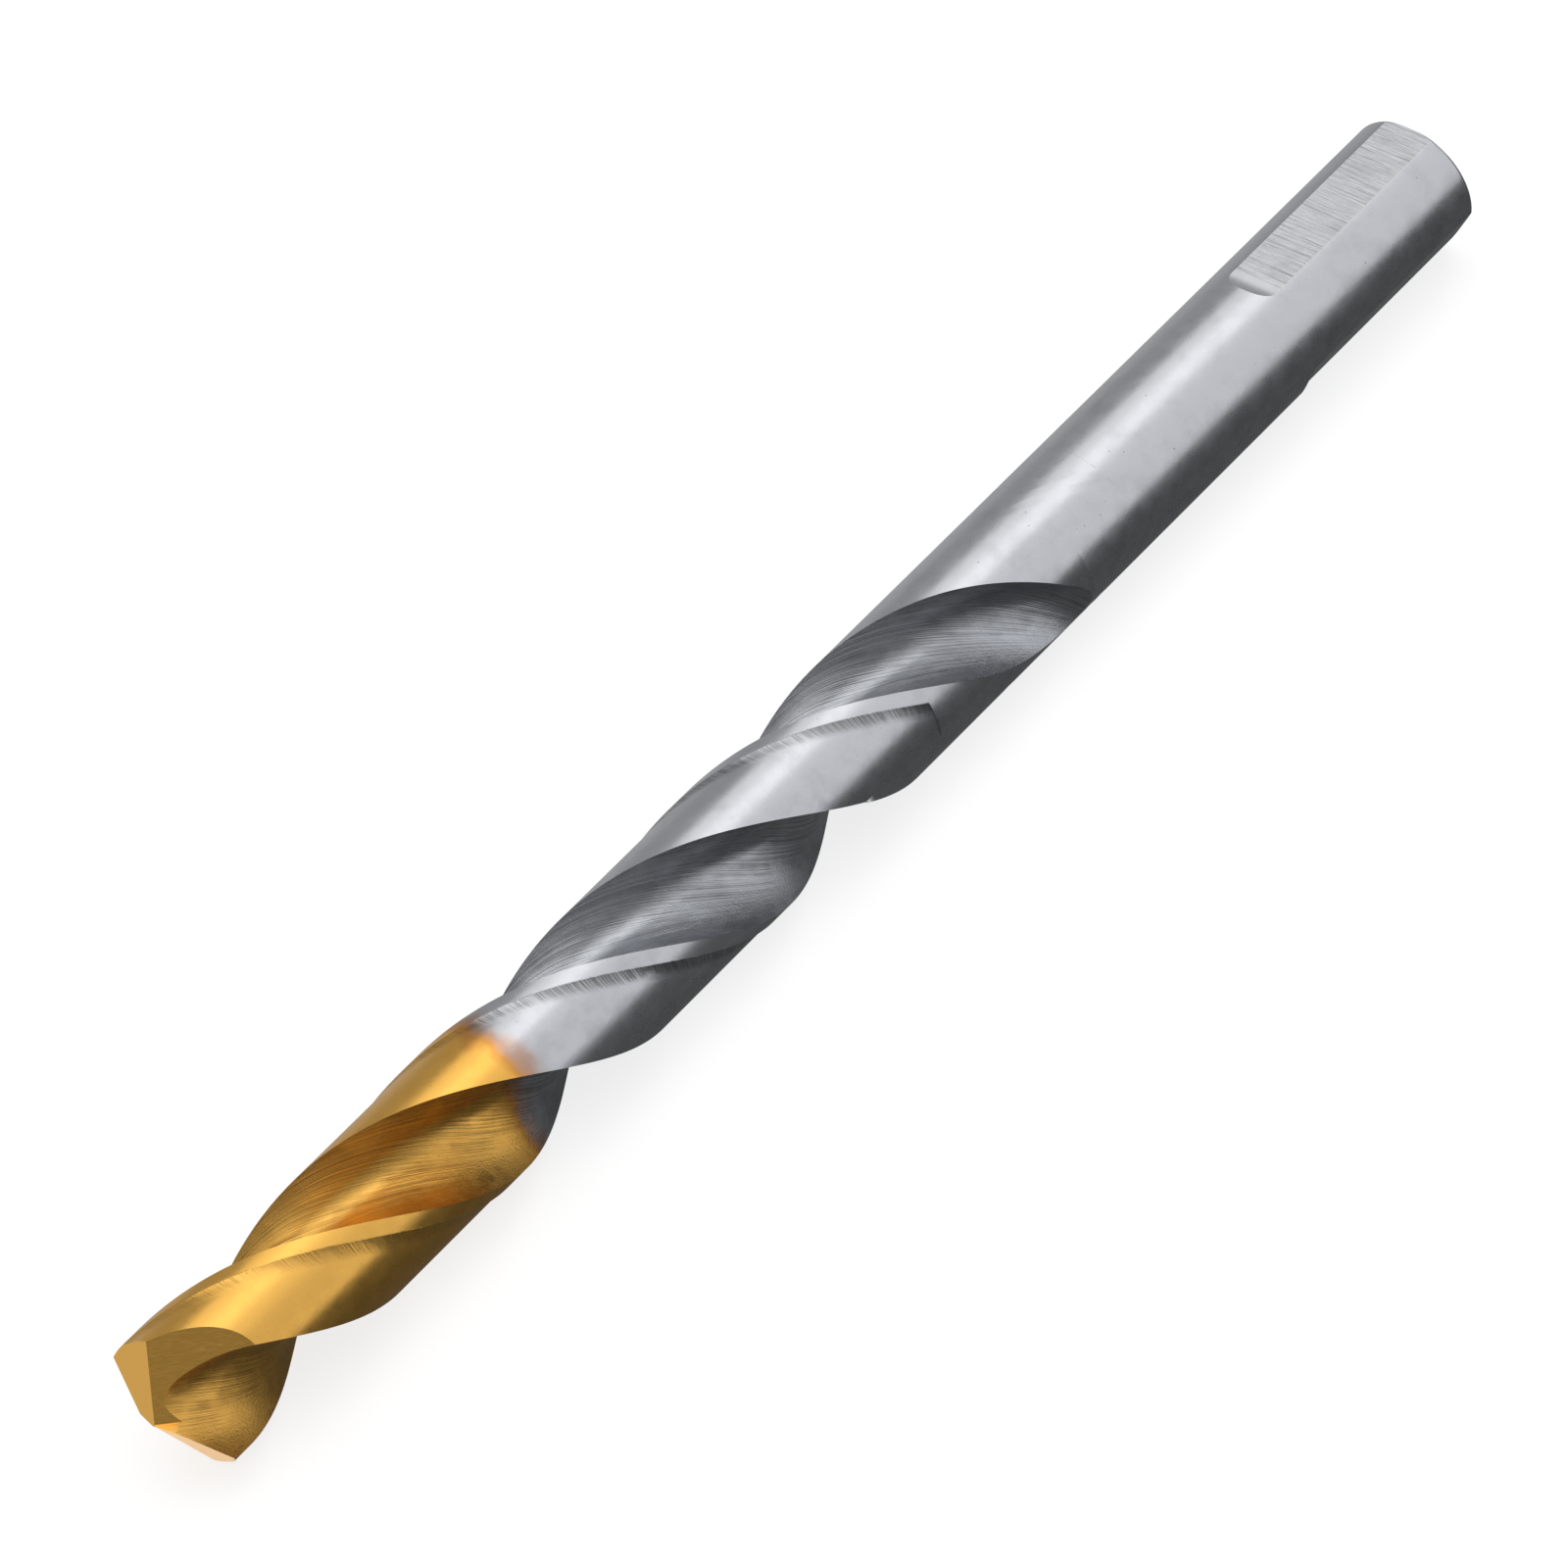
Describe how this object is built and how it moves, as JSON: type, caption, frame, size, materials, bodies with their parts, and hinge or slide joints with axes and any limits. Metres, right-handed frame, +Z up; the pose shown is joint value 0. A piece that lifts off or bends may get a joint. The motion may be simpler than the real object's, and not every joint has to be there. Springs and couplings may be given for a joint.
{
  "type": "twist drill bit",
  "caption": "Straight-shank twist drill with two right-hand spiral flutes, a split point, a gold nitride-coated front and three drive flats.",
  "frame": {"origin": "bottom centre of the box, on the surface that the drill lies on, half way along its length and straight under its axis", "axes": "+X along the drill's axis from its point to its shank end, +Z up and square to the first drive flat, +Y to complete a right-handed frame"},
  "size_m": [0.133, 0.01, 0.01],
  "materials": {
    "coated_steel": "ground high speed steel with a thin gold titanium nitride coating that fades out at its rear edge",
    "tool_steel": "bright ground high speed steel with fine lines along the flutes",
    "shank_steel": "bright centreless-ground steel, flats ground across"
  },
  "bodies": {
    "root": {"coated_point": "coated_steel", "fluted_body": "tool_steel", "shank": "shank_steel"}
  },
  "joints": []
}
